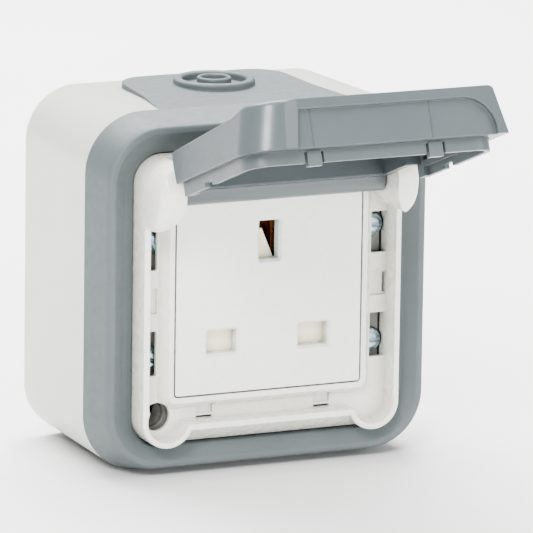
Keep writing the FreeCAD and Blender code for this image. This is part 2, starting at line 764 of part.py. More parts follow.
def make_holder_frame():
    body = new_body("frame_tray")
    pad(body, "block", frame_sketch(body, "block_outline", "frame_back_depth", "0", "frame_corner"),
        "rim_depth - frame_back_depth")
    sill = new_sketch(body, "sill_profile", "YZ_Plane", "0")
    polygon(sill, [
        ("-rim_depth", "sill_edge"),
        ("-ring_inner_depth", "frame_low"),
        ("-ring_inner_depth", "frame_low - rim_wall"),
        ("-rim_depth - rim_wall", "frame_low - rim_wall"),
        ("-rim_depth - rim_wall", "sill_edge"),
    ])
    pocket(body, "sill", sill, "2 * (frame_half - lobe_r)", middle=True)
    lobes = new_sketch(body, "lobe_outlines", "XZ_Plane", "frame_back_depth")
    for _, sign in SIDES:
        circle(lobes, f"{sign}(frame_half - lobe_r)", "frame_low + lobe_r", "lobe_r")
    pad(body, "lobes", lobes, "rim_depth - frame_back_depth")
    tray = new_sketch(body, "tray_outline", "XZ_Plane", "floor_depth")
    rounded_rectangle(tray, "-frame_inner_half", "frame_inner_half", "tray_low",
                      "frame_high - rim_wall", "tray_corner")
    pocket(body, "tray", tray, "rim_depth", forward=True)
    lobe_tray = new_sketch(body, "lobe_tray_outlines", "XZ_Plane", "floor_depth")
    for _, sign in SIDES:
        circle(lobe_tray, f"{sign}(frame_half - lobe_r)", "frame_low + lobe_r", "lobe_r - lobe_wall")
    pocket(body, "lobe_tray", lobe_tray, "rim_depth", forward=True)
    under = new_sketch(body, "under_outline", "XZ_Plane", "floor_depth - floor_thickness")
    rounded_rectangle(under, "-frame_inner_half", "frame_inner_half", "sill_inner",
                      "frame_high - rim_wall", "frame_corner - rim_wall")
    pocket(body, "under_hollow", under, "floor_depth")
    reliefs = new_sketch(body, "screw_relief_outlines", "XZ_Plane", "floor_depth - floor_thickness")
    screw_circles(reliefs, "screw_head_r + screw_head_gap")
    pocket(body, "screw_reliefs", reliefs, "floor_depth - floor_thickness - frame_back_depth")
    collar_foot = square_sketch(body, "collar_foot", "floor_depth - floor_thickness / 2",
                                "collar_foot_half", "collar_foot_corner")
    collar_top = square_sketch(body, "collar_top", "face_depth", "collar_half", "collar_corner")
    loft(body, "collar", [collar_foot, collar_top])
    head = new_sketch(body, "head_wall_outline", "XZ_Plane", "head_wall_depth")
    polygon(head, [
        ("-ear_inner", "collar_foot_half"),
        ("ear_inner", "collar_foot_half"),
        ("ear_inner", "frame_high + rim_wall"),
        ("-ear_inner", "frame_high + rim_wall"),
    ])
    pocket(body, "head_wall", head, "rim_depth", forward=True)
    openings = new_sketch(body, "through_outlines", "XZ_Plane", "frame_back_depth")
    module_opening(openings)
    circle(openings, "-fixing_x", "-fixing_z", "drain_r")
    outer = "frame_inner_half"
    for low, high in (("upper_window_low", "upper_window_high"), ("lower_window_low", "lower_window_high")):
        rounded_rectangle(openings, "window_inner", outer, low, high, "slot_corner")
        rounded_rectangle(openings, f"-({outer})", "-window_inner", low, high, "slot_corner")
    for _, sign in SIDES:
        left = f"{sign}snap_x - snap_half"
        right = f"{sign}snap_x + snap_half"
        polygon(openings, [(left, "tray_low"), (right, "tray_low"), (right, "tray_low + snap_slot"),
                           (left, "tray_low + snap_slot")])
    pocket(body, "through_holes", openings, "rim_depth", forward=True)
    steps = new_sketch(body, "step_outlines", "XZ_Plane", "floor_depth - step_drop")
    latches = new_sketch(body, "latch_outlines", "XZ_Plane", "frame_back_depth")
    for left, right in (("window_inner", outer), (f"-({outer})", "-window_inner")):
        polygon(steps, [(left, "step_low"), (right, "step_low"), (right, "step_high"), (left, "step_high")])
    for left, right in ((f"{outer} - latch_slot", outer), (f"-({outer})", f"latch_slot - ({outer})")):
        polygon(latches, [(left, "step_low + step_drop"), (right, "step_low + step_drop"),
                          (right, "step_high - step_drop"), (left, "step_high - step_drop")])
    for _, sign in SIDES:
        left = f"{sign}snap_x - snap_half"
        right = f"{sign}snap_x + snap_half"
        polygon(steps, [(left, "tray_low + 2 * snap_slot"), (right, "tray_low + 2 * snap_slot"),
                        (right, "snap_high"), (left, "snap_high")])
    pocket(body, "steps", steps, "rim_depth", forward=True)
    pocket(body, "latch_slots", latches, "floor_depth - frame_back_depth + step_drop", forward=True)
    blocks = new_sketch(body, "snap_block_outlines", "XZ_Plane", "floor_depth")
    for _, sign in SIDES:
        left = f"{sign}snap_x - snap_block_half"
        right = f"{sign}snap_x + snap_block_half"
        polygon(blocks, [(left, "sill_edge + rim_wall / 2"), (right, "sill_edge + rim_wall / 2"),
                         (right, "tray_low + snap_block_reach"), (left, "tray_low + snap_block_reach")])
    pad(body, "snap_blocks", blocks, "snap_block_depth - floor_depth")

    def on_rim(edge):
        """The rim's own outer edge, apart from the slope of the sill."""
        box = edge.BoundBox
        middle = edge.valueAt((edge.FirstParameter + edge.LastParameter) / 2)
        beside = abs(middle.x) > size("frame_half") - size("rim_wall") / 2
        low_corner = middle.z < size("sill_edge") and abs(middle.x) > size("frame_half") - size("lobe_r")
        return box.YLength < 0.01 and abs(box.YMin + size("rim_depth")) < 0.01 and (beside or low_corner)

    doc.recompute()
    round_edges(body, "rim_edges", body.Tip, "rim_round", on_rim)
    ears = []
    for side, sign in SIDES:
        left = "ear_inner" if sign == "" else "-frame_half"
        lug = new_body(f"{side}_ear_lug")
        for name in ("root", "barrel"):
            outline = new_sketch(lug, f"{side}_ear_{name}_outline", "YZ_Plane", left)
            if name == "barrel":
                circle(outline, "-hinge_depth", "hinge_rise", "ear_r")
            else:
                polygon(outline, [
                    ("-frame_back_depth", "hinge_rise - ear_r"), ("-hinge_depth", "hinge_rise - ear_r"),
                    ("-hinge_depth", "hinge_rise + ear_r"), ("-frame_back_depth", "hinge_rise + ear_r"),
                ])
            last = pad(lug, f"{side}_ear_{name}", outline, "frame_half - ear_inner")

        def on_outside(edge):
            box = edge.BoundBox
            outside = box.XLength < 0.01 and abs(abs(box.XMin) - size("frame_half")) < 0.01
            return outside and box.YMin < -size("rim_depth")

        round_edges(lug, f"{side}_ear_round", last, "ear_round", on_outside)
        outline = new_body(f"{side}_ear_outline")
        limit = frame_sketch(outline, f"{side}_ear_limit", "frame_back_depth", "0", "frame_corner")
        pad(outline, f"{side}_ear_limit_pad", limit, "hinge_depth + ear_r")
        sweep = rod(f"{side}_ear_sweep", "out", "ear_sweep_r", "ear_r + hinge_depth",
                    f"{sign}(ear_inner + ear_sweep_r)", "frame_back_depth", "ear_sweep_rise")
        upper = solid_box(f"{side}_ear_upper", left, f"({left}) + ear_width", "frame_back_depth",
                          "hinge_depth + ear_r", "ear_sweep_rise", "frame_high")
        ears.append(overlap_of(f"{side}_ear", [lug, outline, join(f"{side}_ear_front", [sweep, upper])]))
    whole = join("frame_with_ears", [body] + ears)
    bores = []
    for side, sign in SIDES:
        start = "hinge_pin_inner" if sign == "" else "-hinge_pin_outer"
        bores.append(rod(f"{side}_ear_bore", "right", "hinge_pin_r + pin_fit",
                         "hinge_pin_length", start, "hinge_depth", "hinge_rise"))
    node("holder_frame", cut("holder_frame", whole, bores))


def make_frame_seal():
    body = new_body("frame_seal")
    pad(body, "seal_band", frame_sketch(body, "seal_outline", "plate_depth", "-gap_to_frame / 2",
                                        "frame_corner"), "seal_thickness")
    hole = frame_sketch(body, "seal_hole_outline", "plate_depth", "seal_width", "frame_corner - seal_width")
    pocket(body, "seal_hole", hole, "seal_thickness", forward=True)
    notches = new_sketch(body, "seal_notch_outlines", "XZ_Plane", "plate_depth")
    screw_circles(notches, "screw_head_r + screw_head_gap")
    pocket(body, "seal_notches", notches, "seal_thickness", forward=True)
    node("frame_seal", body)


# Mounting plate, screwed to the posts of the box

def make_mounting_plate():
    body = new_body("mounting_plate")
    outline = frame_sketch(body, "plate_outline", "land_depth", "0", "frame_corner")
    pad(body, "plate", outline, "plate_thickness")
    holes = new_sketch(body, "plate_holes_outline", "XZ_Plane", "land_depth")
    module_opening(holes)
    screw_circles(holes, "screw_shank_r + screw_fit")
    for _, sign in SIDES:
        for rise in ("fixing_z", "-fixing_z"):
            circle(holes, f"{sign}fixing_x", rise, "fixing_access_r")
    pocket(body, "plate_holes", holes, "plate_thickness", forward=True)
    node("mounting_plate", body)


def pan_screw(name, across, up, seat, head_r, head_height, shank_r, length, inward=False, turn=0):
    """Slotted screw turned about Y: a domed head on its seat and a plain shank."""
    body = new_body(name)
    profile = new_sketch(body, f"{name}_profile", "YZ_Plane", "0")
    polygon(profile, [
        (length, "0"), (length, shank_r), ("0", shank_r), ("0", head_r), (f"-{head_height} * 0.4", head_r),
        (f"-{head_height} * 0.75", f"{head_r} * 0.86"), (f"-{head_height}", f"{head_r} * 0.5"),
        (f"-{head_height}", "0"),
    ])
    turned = body.newObject("PartDesign::Revolution", f"{name}_turned")
    turned.Profile = profile
    turned.ReferenceAxis = (profile, ["H_Axis"])
    turned.Angle = 360
    slot = new_sketch(body, f"{name}_slot_outline", "XZ_Plane", head_height)
    polygon(slot, [(f"-{head_r}", "-screw_slot / 2"), (head_r, "-screw_slot / 2"),
                   (head_r, "screw_slot / 2"), (f"-{head_r}", "screw_slot / 2")])
    pocket(body, f"{name}_slot", slot, f"{head_height} / 2")
    spin = FreeCAD.Rotation(FreeCAD.Vector(0, 1, 0), turn)
    if inward:
        spin = spin.multiply(FreeCAD.Rotation(FreeCAD.Vector(0, 0, 1), 180))
    body.Placement = FreeCAD.Placement(FreeCAD.Vector(0, 0, 0), spin)
    bind(body, Placement__Base__x=across, Placement__Base__y=f"-({seat})", Placement__Base__z=up)
    return body


def make_plate_screws():
    turns = {("left", "upper_screw_z"): 62, ("left", "lower_screw_z"): 20,
             ("right", "upper_screw_z"): 8, ("right", "lower_screw_z"): 4}
    screws = []
    for side, sign in SIDES:
        for rise in ("upper_screw_z", "lower_screw_z"):
            screws.append(pan_screw(f"plate_screw_{side}_{rise[:5]}", f"{sign}plate_screw_x", rise,
                                    "plate_depth", "screw_head_r", "screw_head_height", "screw_shank_r",
                                    "screw_length - plate_thickness", turn=turns[(side, rise)]))
    node("plate_screws", group("plate_screws", screws))


# Socket module: face shell, base, three contacts, shutter and return spring

def pin_slots(sketch):
    for _, across in LINE_PINS:
        rounded_rectangle(sketch, f"{across} - line_slot_half", f"{across} + line_slot_half",
                          "pin_row_z - line_slot_rise", "pin_row_z + line_slot_rise", "slot_corner")
    rounded_rectangle(sketch, "-earth_slot_half", "earth_slot_half", "earth_z - earth_slot_rise",
                      "earth_z + earth_slot_rise", "slot_corner")


def base_screw_circles(sketch, radius):
    circle(sketch, "boss_x", "boss_z", radius)
    circle(sketch, "-boss_x", "boss_z", radius)


def make_socket_face():
    body = new_body("socket_face")
    pad(body, "face_block", square_sketch(body, "face_outline", "module_joint_depth", "module_half",
                                          "module_corner"), "face_depth - module_joint_depth")
    hollow = square_sketch(body, "face_hollow_outline", "face_depth - face_wall",
                           "module_half - module_wall", "module_corner")
    pocket(body, "face_hollow", hollow, "face_depth")
    bosses = new_sketch(body, "face_boss_outlines", "XZ_Plane", "module_joint_depth")
    base_screw_circles(bosses, "boss_r")
    pad(body, "face_bosses", bosses, "face_depth - face_wall - module_joint_depth")
    lugs = new_sketch(body, "lug_outlines", "XZ_Plane", "land_depth - lug_thickness")
    for left, right in (("module_half - module_wall", "module_half + lug_reach"),
                        ("-module_half - lug_reach", "module_wall - module_half")):
        polygon(lugs, [(left, "-lug_rise"), (right, "-lug_rise"), (right, "lug_rise"), (left, "lug_rise")])
    pad(body, "lugs", lugs, "lug_thickness")
    slots = new_sketch(body, "pin_slot_outlines", "XZ_Plane", "face_depth")
    pin_slots(slots)
    pocket(body, "pin_slots", slots, "face_wall + screw_fit")
    screw_holes = new_sketch(body, "face_screw_outlines", "XZ_Plane", "module_joint_depth")
    base_screw_circles(screw_holes, "base_screw_r + pin_fit")
    last = pocket(body, "face_screw_holes", screw_holes, "base_screw_length", forward=True)
    bind(last, Length="module_back_depth + base_screw_length - module_joint_depth + screw_fit")

    def slot_mouth(edge):
        box = edge.BoundBox
        inside = max(abs(box.XMin), abs(box.XMax), abs(box.ZMin), abs(box.ZMax)) < size("module_half") - 1
        return box.YLength < 0.01 and abs(box.YMin + size("face_depth")) < 0.01 and inside

    round_edges(body, "slot_mouths", last, "slot_chamfer", slot_mouth, "PartDesign::Chamfer")
    node("socket_face", body)


def make_socket_base():
    body = new_body("socket_base")
    pad(body, "base_block", square_sketch(body, "base_outline", "module_back_depth", "module_half",
                                          "module_corner"), "module_joint_depth - module_back_depth")
    hollow = square_sketch(body, "base_hollow_outline", "base_floor_depth",
                           "module_half - module_wall", "module_corner")
    pocket(body, "base_hollow", hollow, "module_joint_depth", forward=True)
    floor = "module_back_depth + base_floor / 2"
    pillars = new_sketch(body, "pillar_outlines", "XZ_Plane", floor)
    base_screw_circles(pillars, "boss_r")
    pad(body, "pillars", pillars, f"module_joint_depth - ({floor})")
    seat = new_sketch(body, "spring_seat_outline", "XZ_Plane", floor)
    polygon(seat, [("-seat_half", "spring_seat_z - seat_thickness"),
                   ("seat_half", "spring_seat_z - seat_thickness"),
                   ("seat_half", "spring_seat_z"), ("-seat_half", "spring_seat_z")])
    pad(body, "spring_seat", seat, f"seat_front_depth - ({floor})")
    guides = new_sketch(body, "guide_outlines", "XZ_Plane", floor)
    for left, right in (("guide_inner", "guide_inner + guide_thickness"),
                        ("-(guide_inner + guide_thickness)", "-guide_inner")):
        polygon(guides, [(left, "guide_low"), (right, "guide_low"), (right, "shutter_high"),
                         (left, "shutter_high")])
    pad(body, "guides", guides, f"shutter_front_depth - ({floor})")
    holes = new_sketch(body, "base_hole_outlines", "XZ_Plane", "module_back_depth")
    base_screw_circles(holes, "base_screw_r + pin_fit")
    for across, up in (("pin_pitch / 2", "pin_row_z"), ("-pin_pitch / 2", "pin_row_z"), ("0", "earth_z")):
        circle(holes, across, up, "terminal_screw_r + screw_fit")
    pocket(body, "base_holes", holes, "module_joint_depth", forward=True)
    node("socket_base", body)


def make_base_screws():
    screws = [pan_screw(f"base_screw_{side}", f"{sign}boss_x", "boss_z", "module_back_depth",
                        "base_screw_head_r", "base_screw_head_height", "base_screw_r", "base_screw_length",
                        inward=True)
              for side, sign in SIDES]
    node("base_screws", group("base_screws", screws))


def make_contact(name, across, up, upright):
    """Sprung jaw for one pin: two leaves with flared lips on a terminal block."""
    body = new_body(name)
    half = "earth_jaw_half" if upright else "line_jaw_half"
    plane = "XY_Plane" if upright else "YZ_Plane"
    profile = new_sketch(body, f"{name}_jaw_profile", plane, "0")
    inner = "jaw_gap_half"
    outer = "(jaw_gap_half + jaw_thickness)"
    lip = "(jaw_front_depth - jaw_flare_length)"
    web = "jaw_back_depth + jaw_thickness"
    steps = [
        (f"-{outer}", "jaw_back_depth"), (f"-{outer}", lip), (f"-({outer} + jaw_flare)", "jaw_front_depth"),
        (f"-({inner} + jaw_flare)", "jaw_front_depth"), (f"-{inner}", lip), (f"-{inner}", web),
        (inner, web), (inner, lip), (f"{inner} + jaw_flare", "jaw_front_depth"),
        (f"{outer} + jaw_flare", "jaw_front_depth"), (outer, lip), (outer, "jaw_back_depth"),
    ]
    if upright:
        corners = [(side, f"-({depth})") for side, depth in steps]
    else:
        corners = [(f"-({depth})", side) for side, depth in steps]
    polygon(profile, corners)
    pad(body, f"{name}_jaw", profile, f"2 * {half}", middle=True)
    block = square_sketch(body, f"{name}_block_outline", "base_floor_depth", "terminal_half",
                          "slot_corner")
    pad(body, f"{name}_block", block, "jaw_back_depth - base_floor_depth + jaw_thickness / 2")
    tapped = new_sketch(body, f"{name}_tapped_outline", "XZ_Plane", "base_floor_depth")
    circle(tapped, "0", "0", "terminal_screw_r + pin_fit")
    pocket(body, f"{name}_tapped_hole", tapped, "terminal_screw_length - base_floor + screw_fit",
           forward=True)
    bind(body, Placement__Base__x=across, Placement__Base__z=up)
    node(name, body)


def make_terminal_screws():
    places = [("live", "pin_pitch / 2", "pin_row_z"), ("neutral", "-pin_pitch / 2", "pin_row_z"),
              ("earth", "0", "earth_z")]
    screws = [pan_screw(f"terminal_screw_{name}", across, up, "module_back_depth", "terminal_head_r",
                        "terminal_head_height", "terminal_screw_r", "terminal_screw_length",
                        inward=True, turn=30)
              for name, across, up in places]
    node("terminal_screws", group("terminal_screws", screws))


def make_shutter():
    body = new_body("shutter")
    outline = new_sketch(body, "shutter_outline", "XZ_Plane", "shutter_back_depth")
    polygon(outline, [
        ("-shutter_half", "shutter_low"), ("shutter_half", "shutter_low"), ("shutter_half", "shutter_high"),
        ("stem_right", "shutter_high"), ("stem_right", "ramp_foot_z"), ("-ramp_top_x", "ramp_top_z"),
        ("-stem_left", "ramp_top_z"), ("-stem_left", "shutter_high"), ("-shutter_half", "shutter_high"),
    ])
    pad(body, "shutter_plate", outline, "shutter_thickness")
    lug = new_sketch(body, "spring_lug_outline", "XZ_Plane", "spring_lug_depth")
    polygon(lug, [("-spring_lug_half", "spring_lug_low"), ("spring_lug_half", "spring_lug_low"),
                  ("spring_lug_half", "spring_lug_high"), ("-spring_lug_half", "spring_lug_high")])
    pad(body, "spring_lug", lug, "shutter_back_depth - spring_lug_depth + shutter_thickness / 2")
    node("shutter", body)


def make_shutter_spring():
    """Round wire on a helix, standing on its seat under the shutter's lug."""
    wire_r = size("spring_wire_r")
    low = size("spring_seat_z") + wire_r
    height = size("spring_length") - 2 * wire_r
    helix = Part.makeHelix(height / size("spring_coils"), height, size("spring_r"))
    start = helix.Edges[0].valueAt(helix.Edges[0].FirstParameter)
    heading = helix.Edges[0].tangentAt(helix.Edges[0].FirstParameter)
    section = Part.Wire([Part.Edge(Part.Circle(start, heading, wire_r))])
    coil = Part.Wire(helix).makePipeShell([section], True, True)
    spring = doc.addObject("Part::Feature", "shutter_spring")
    spring.Shape = coil
    spring.Placement = FreeCAD.Placement(FreeCAD.Vector(0, -size("spring_depth"), low), FreeCAD.Rotation())
    node("shutter_spring", spring)


# Lid: drawn closed about its hinge axis, with reach down the lid and lift out from it

def lid_profile(body, name, corners):
    """Side view of the lid from (reach, lift) pairs."""
    sketch = new_sketch(body, name, "YZ_Plane", "0")
    polygon(sketch, [(f"-({lift})", f"-({reach})") for reach, lift in corners])
    return sketch


def place_lid(body):
    """Stand a closed lid piece on the hinge axis and swing it open."""
    swing = FreeCAD.Rotation(FreeCAD.Vector(1, 0, 0), -size("open_angle"))
    body.Placement = FreeCAD.Placement(FreeCAD.Vector(0, 0, 0), swing)
    bind(body, Placement__Base__y="-hinge_depth", Placement__Base__z="hinge_rise",
         Placement__Rotation__Angle="-open_angle")


def end_corner(side, half, reach):
    """Test for the edge that stands at one corner of the free end."""
    def test(edge):
        box = edge.BoundBox
        centre = edge.CenterOfMass
        tall = box.YLength > size("lid_root_lift") / 2
        beside = abs(centre.x - side * half) < size("lid_margin")
        return tall and beside and abs(-centre.z - reach) < size("lid_margin")
    return test


def make_lid_cover():
    body = new_body("lid_cover")
    side_view = lid_profile(body, "lid_side_view", [
        ("lid_length", "skirt_lift"), ("lid_top_length", "crown_lift"), ("crown_start", "crown_lift"),
        ("step_start", "step_lift"), ("lid_root", "lid_root_lift"), ("lid_nose_reach", "lid_nose_lift"),
        ("-knuckle_r * 0.6", "knuckle_r * 1.5"), ("-knuckle_r", "0"), ("0", "skirt_lift"),
    ])
    pad(body, "lid_block", side_view, "2 * lid_half", middle=True)
    for side, sign in SIDES:
        draft = new_sketch(body, f"{side}_draft", "XY_Plane", "-2 * lid_length")
        polygon(draft, [
            (f"{sign}lid_half", "-skirt_lift"), (f"{sign}lid_top_half", "-crown_lift"),
            (f"{sign}lid_top_half", "-2 * crown_lift"), (f"{sign}2 * lid_half", "-2 * crown_lift"),
            (f"{sign}2 * lid_half", "-skirt_lift"),
        ])
        pocket(body, f"{side}_draft_cut", draft, "3 * lid_length", forward=True)
        step = new_sketch(body, f"{side}_step", "YZ_Plane", f"{sign}knuckle_half")
        polygon(step, [(f"-({lift})", f"-({reach})") for reach, lift in (
            ("-lid_length", "-lid_length"), ("shoulder_foot", "-lid_length"),
            ("shoulder_foot", "skirt_lift"), ("shoulder_knee", "shoulder_knee_lift"),
            ("lid_root", "lid_root_lift"), ("lid_root", "lid_length"), ("-lid_length", "lid_length"))])
        last = pocket(body, f"{side}_step_cut", step, "lid_half", forward=sign == "")
    half = (size("lid_half") + size("lid_top_half")) / 2
    reach = size("lid_length")
    last = round_edges(body, "lobe_corner", last, "lid_corner", end_corner(-1, half, reach))
    last = round_edges(body, "sharp_corner", last, "lid_sharp_corner", end_corner(1, half, reach))

    def on_top(edge):
        """The rim of the lid's top face and the two creases across it."""
        box = edge.BoundBox
        return box.YMax < 0.01 - size("lid_root_lift") and -box.ZMin > size("lid_root") + 1

    last = round_edges(body, "lid_edges", last, "lid_edge_round", on_top)
    nose = new_sketch(body, "nose_outline", "YZ_Plane", "0")
    circle(nose, "0", "0", "knuckle_r")
    pad(body, "nose", nose, "2 * knuckle_half", middle=True)
    core = lid_profile(body, "core_side_view", [
        ("core_start", "2 * skirt_lift"), ("liner_end", "2 * skirt_lift"),
        ("liner_end", "crown_lift - lid_wall"), ("crown_start", "crown_lift - lid_wall"),
        ("step_start", "step_lift - lid_wall"), ("core_start", "lid_root_lift - lid_wall"),
    ])
    last = pocket(body, "core", core, "2 * core_half", middle=True)
    for side, sign in (("left", -1), ("right", 1)):
        last = round_edges(body, f"core_{side}_corner", last, "core_corner",
                           end_corner(sign, size("core_half"), size("liner_end")))
    throat = lid_profile(body, "throat_side_view", [
        ("throat_start", "2 * skirt_lift"), ("core_start + lid_wall", "2 * skirt_lift"),
        ("core_start + lid_wall", "lid_root_lift - lid_wall"),
        ("throat_start", "lid_root_lift - throat_roof"),
    ])
    pocket(body, "throat", throat, "2 * (knuckle_half - lid_wall)", middle=True)
    for name, depth in (("liner_seat", "liner_corner"), ("liner_seat_end", "slot_corner")):
        seat = new_sketch(body, f"{name}_outline", "XZ_Plane", "liner_lift")
        far = "liner_end + liner_fit" if name == "liner_seat" else "core_start + 2 * liner_corner"
        rounded_rectangle(seat, "-(liner_half + liner_fit)", "liner_half + liner_fit", f"-({far})",
                          "liner_fit - core_start", depth)
        pocket(body, name, seat, "2 * liner_lift - skirt_lift")
    rib = new_sketch(body, "rib_outline", "XZ_Plane", "rib_lift")
    polygon(rib, [("rib_left", "-(rib_start + rib_length)"), ("rib_right", "-(rib_start + rib_length)"),
                  ("rib_right", "-rib_start"), ("rib_left", "-rib_start")])
    pad(body, "rib", rib, "lid_root_lift - lid_wall / 2 - rib_lift")
    brow = new_sketch(body, "brow_outline", "XZ_Plane", "2 * crown_lift")
    polygon(brow, [("-brow_left", "-2 * lid_length"), ("2 * lid_half", "-2 * lid_length"),
                   ("2 * lid_half", "-brow_reach"), ("brow_slope - brow_left", "-brow_reach"),
                   ("-brow_left", "-lid_length")])
    pocket(body, "brow", brow, "4 * crown_lift")
    grip = new_sketch(body, "grip_outline", "XY_Plane", "-2 * lid_length")
    polygon(grip, [("-grip_left", "-skirt_lift * 2"), ("grip_slope - grip_left", "-brow_lift"),
                   ("grip_right", "-brow_lift"), ("grip_right", "-skirt_lift * 2")])
    last = pocket(body, "grip", grip, "2 * lid_length - grip_reach", forward=True)

    def on_grip_corner(edge):
        box = edge.BoundBox
        level = box.XLength < 0.01 and box.YLength < 0.01
        beside = abs(box.XMin - size("grip_right")) < 0.01
        return level and beside and abs(box.YMin + size("brow_lift")) < 0.01

    last = round_edges(body, "grip_corner", last, "grip_corner", on_grip_corner)
    for side, sign in SIDES:
        bore = new_sketch(body, f"{side}_nose_bore_outline", "YZ_Plane", f"{sign}knuckle_half")
        circle(bore, "0", "0", "hinge_pin_r + pin_fit")
        pocket(body, f"{side}_nose_bore", bore, "knuckle_half - hinge_pin_inner + pin_fit",
               forward=sign == "-")
    place_lid(body)
    node("lid_cover", body)


def u_outline(body, name, lift, half, end):
    """Two overlapping outlines: rounded at the free end, square at the hinge end."""
    corner = f"(liner_corner + ({half}) - liner_half)"
    rounded = new_sketch(body, f"{name}_free_end", "XZ_Plane", lift)
    rounded_rectangle(rounded, f"-({half})", half, f"-({end})", f"-({end}) + 3 * {corner}", corner)
    square = new_sketch(body, f"{name}_hinge_end", "XZ_Plane", lift)
    polygon(square, [(f"-({half})", f"-({end}) + {corner}"), (half, f"-({end}) + {corner}"),
                     (half, "-core_start"), (f"-({half})", "-core_start")])
    return rounded, square


def make_lid_liner():
    """Tongue on the free end and the two sides of the lid, with sprung clips and side notches."""
    body = new_body("lid_liner")
    for index, outline in enumerate(u_outline(body, "liner", "liner_drop", "liner_half", "liner_end")):
        pad(body, f"liner_block_{index + 1}", outline, "liner_height")
    inside = u_outline(body, "liner_inside", "liner_lift", "liner_half - liner_wall",
                       "liner_end - liner_wall")
    for index, outline in enumerate(inside):
        pocket(body, f"liner_hollow_{index + 1}", outline, "2 * liner_height")
    returns = new_sketch(body, "return_outlines", "XZ_Plane", "liner_drop")
    for left, right in (("liner_half - liner_return", "liner_half - liner_wall / 2"),
                        ("liner_wall / 2 - liner_half", "liner_return - liner_half")):
        polygon(returns, [(left, "-(core_start + liner_wall)"), (right, "-(core_start + liner_wall)"),
                          (right, "-core_start"), (left, "-core_start")])
    pad(body, "returns", returns, "liner_height")
    feet = new_sketch(body, "foot_outlines", "XZ_Plane", "liner_drop")
    for left, right in (("liner_half - liner_return", "liner_half"),
                        ("-liner_half", "liner_return - liner_half")):
        polygon(feet, [(left, "-(core_start + liner_wall)"), (right, "-(core_start + liner_wall)"),
                       (right, "-shoulder_foot"), (left, "-shoulder_foot")])
    pad(body, "feet", feet, "skirt_lift - liner_drop")
    notches = new_sketch(body, "notch_profile", "YZ_Plane", "0")
    polygon(notches, [("liner_wall - liner_drop", "-notch_end"),
                      ("-(liner_drop + notch_rise)", "-notch_end"),
                      ("-(liner_drop + notch_rise)", "-notch_start"),
                      ("liner_wall - liner_drop", "-notch_start")])
    pocket(body, "notches", notches, "3 * liner_half", middle=True)
    gaps = new_sketch(body, "clip_gap_outlines", "XZ_Plane", "skirt_lift - clip_root")
    clips = new_sketch(body, "clip_outlines", "XZ_Plane", "clip_tip")
    for _, sign in SIDES:
        for left, right in (("- clip_half - clip_gap", "- clip_half"),
                            ("+ clip_half", "+ clip_half + clip_gap")):
            polygon(gaps, [(f"{sign}snap_x {left}", "-(liner_end + clip_gap)"),
                           (f"{sign}snap_x {right}", "-(liner_end + clip_gap)"),
                           (f"{sign}snap_x {right}", "-(liner_end - 2 * liner_wall)"),
                           (f"{sign}snap_x {left}", "-(liner_end - 2 * liner_wall)")])
        rounded_rectangle(clips, f"{sign}snap_x - clip_half", f"{sign}snap_x + clip_half",
                          "-(liner_end + clip_bulge)", "-(liner_end - clip_thickness)", "clip_bulge / 2")
    pocket(body, "clip_gaps", gaps, "2 * liner_height")
    pad(body, "clips", clips, "skirt_lift - clip_bulge - clip_tip")
    place_lid(body)
    node("lid_liner", body)


def make_lid_seal():
    body = new_body("lid_seal")
    outer = u_outline(body, "lip", "lip_lift - lip_height", "liner_half - liner_wall",
                      "liner_end - clip_thickness")
    for index, outline in enumerate(outer):
        pad(body, f"lip_{index + 1}", outline, "lip_height")
    inside = u_outline(body, "lip_inside", "lip_lift", "liner_half - liner_wall - lip_width",
                       "liner_end - clip_thickness - lip_width")
    for index, outline in enumerate(inside):
        pocket(body, f"lip_hollow_{index + 1}", outline, "2 * lip_height")
    returned = new_sketch(body, "lip_end_outline", "XZ_Plane", "lip_lift")
    polygon(returned, [("-liner_half", "-(core_start + liner_wall)"),
                       ("liner_half", "-(core_start + liner_wall)"),
                       ("liner_half", "-core_start"), ("-liner_half", "-core_start")])
    pocket(body, "lip_ends", returned, "2 * lip_height")
    place_lid(body)
    node("lid_seal", body)


def make_hinge_pins():
    for side, sign in SIDES:
        start = "hinge_pin_inner" if sign == "" else "-hinge_pin_outer"
        node(f"hinge_pin_{side}", rod(f"hinge_pin_{side}", "right", "hinge_pin_r",
                                      "hinge_pin_length", start, "hinge_depth",
                                      "hinge_rise"))


def check_model():
    """Stop before anything is written if a feature failed or a shape is unsound."""
    failed = [thing.Name for thing in doc.Objects if {"Invalid", "Error"} & set(thing.State)]
    unsound = [name for name, thing in nodes.items() if thing.Shape.isNull() or not thing.Shape.isValid()]
    if failed or unsound:
        raise RuntimeError(f"failed features {failed}, unsound sub-parts {unsound}")
    for name, thing in nodes.items():
        print(name, len(thing.Shape.Solids), round(thing.Shape.Volume, 1))


def main():
    make_wall_box()
    make_surround()
    make_holder_frame()
    make_frame_seal()
    make_mounting_plate()
    make_plate_screws()
    make_socket_face()
    make_socket_base()
    make_base_screws()
    for name, across in LINE_PINS:
        make_contact(f"{name}_contact", across, "pin_row_z", upright=False)
    make_contact("earth_contact", "0", "earth_z", upright=True)
    make_terminal_screws()
    make_shutter()
    make_shutter_spring()
    make_lid_cover()
    make_lid_liner()
    make_lid_seal()
    make_hinge_pins()
    doc.recompute()
    check_model()
    for name, thing in nodes.items():
        thing.Shape.exportStep(f"parts/{name}.step")


main()
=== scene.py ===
import bpy
import bmesh
import json
import math
from mathutils import Matrix, Vector


